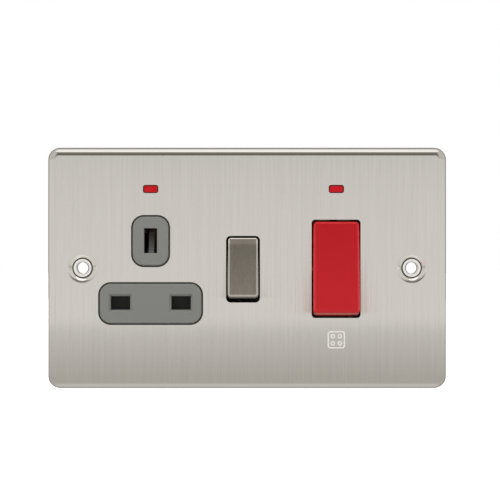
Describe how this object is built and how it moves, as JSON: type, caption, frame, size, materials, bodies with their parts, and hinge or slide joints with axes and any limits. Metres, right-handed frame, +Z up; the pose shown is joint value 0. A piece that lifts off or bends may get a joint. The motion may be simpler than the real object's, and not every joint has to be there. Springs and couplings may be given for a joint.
{
  "type": "cooker control unit",
  "caption": "Wall-mounted cooker control unit: brushed steel plate with a shuttered, switched earthed socket, a large red cooker rocker switch and neon indicators.",
  "frame": {"origin": "middle of the plate, on the wall's face", "axes": "+X to the right seen from the front, +Y into the wall, +Z up"},
  "size_m": [0.1466, 0.0345, 0.0886],
  "materials": {
    "plate_steel": "fine vertical brushing",
    "rocker_metal": "fine vertical brushing",
    "rocker_plastic": "moulded",
    "sleeve_nickel": "bright nickel plate",
    "grey_moulding": "satin",
    "housing_plastic": "moulded",
    "shutter_plastic": "moulded",
    "plunger_plastic": "moulded",
    "red_rocker": "satin gloss",
    "red_lens": "clear red",
    "lamp_glass": "clear",
    "contact_brass": "bright",
    "contact_bronze": "dull spring bronze",
    "spring_steel": "drawn wire",
    "screw_steel": "zinc plated"
  },
  "bodies": {
    "unit": {"front_plate": "plate_steel", "fixing_sleeves": "sleeve_nickel", "front_moulding": "grey_moulding", "rear_housing": "housing_plastic", "shutter_spring": "spring_steel", "earth_contact": "contact_bronze", "line_contact": "contact_bronze", "neutral_contact": "contact_bronze", "plate_earth_tab": "contact_brass", "supply_line_terminal": "contact_brass", "supply_neutral_terminal": "contact_brass", "load_line_terminal": "contact_brass", "load_neutral_terminal": "contact_brass", "socket_lamp_lens": "red_lens", "cooker_lamp_lens": "red_lens", "socket_neon_lamp": "lamp_glass", "cooker_neon_lamp": "lamp_glass", "housing_screws": "screw_steel", "terminal_screws": "screw_steel"},
    "socket_switch": {"switch_rocker": "rocker_plastic", "switch_rocker_cap": "rocker_metal", "switch_plunger": "plunger_plastic", "switch_spring": "spring_steel"},
    "socket_blade": {"switch_blade": "contact_brass"},
    "cooker_switch": {"cooker_rocker": "red_rocker", "cooker_plunger_line": "plunger_plastic", "cooker_spring_line": "spring_steel", "cooker_plunger_neutral": "plunger_plastic", "cooker_spring_neutral": "spring_steel"},
    "line_blade": {"cooker_blade_line": "contact_brass"},
    "neutral_blade": {"cooker_blade_neutral": "contact_brass"},
    "shutter": {"shutter": "shutter_plastic"}
  },
  "joints": [
    {"name": "socket_rocker_hinge", "type": "hinge", "parent": "unit", "child": "socket_switch", "pos_m": [-0.0015, -0.0015, -0.0003], "axis": [1, 0, 0], "range_deg": [0, 15]},
    {"name": "socket_blade_hinge", "type": "hinge", "parent": "unit", "child": "socket_blade", "pos_m": [-0.0015, 0.011, -0.0003], "axis": [1, 0, 0], "range_deg": [-20, 0]},
    {"name": "cooker_rocker_hinge", "type": "hinge", "parent": "unit", "child": "cooker_switch", "pos_m": [0.03265, -0.0015, -0.0003], "axis": [1, 0, 0], "range_deg": [0, 12]},
    {"name": "line_blade_hinge", "type": "hinge", "parent": "unit", "child": "line_blade", "pos_m": [0.02845, 0.011, -0.0003], "axis": [1, 0, 0], "range_deg": [-20, 0]},
    {"name": "neutral_blade_hinge", "type": "hinge", "parent": "unit", "child": "neutral_blade", "pos_m": [0.03685, 0.011, -0.0003], "axis": [1, 0, 0], "range_deg": [-20, 0]},
    {"name": "shutter_slide", "type": "slide", "parent": "unit", "child": "shutter", "axis": [0, 0, -1], "range_m": [0, 0.006], "stiffness_N_per_m": 150, "springref_m": -0.006, "deforming": ["shutter_spring"]}
  ],
  "couplings": [
    {"joint": "socket_blade_hinge", "follows": "socket_rocker_hinge", "ratio": -1.3333},
    {"joint": "line_blade_hinge", "follows": "cooker_rocker_hinge", "ratio": -1.6666},
    {"joint": "neutral_blade_hinge", "follows": "cooker_rocker_hinge", "ratio": -1.6666}
  ]
}
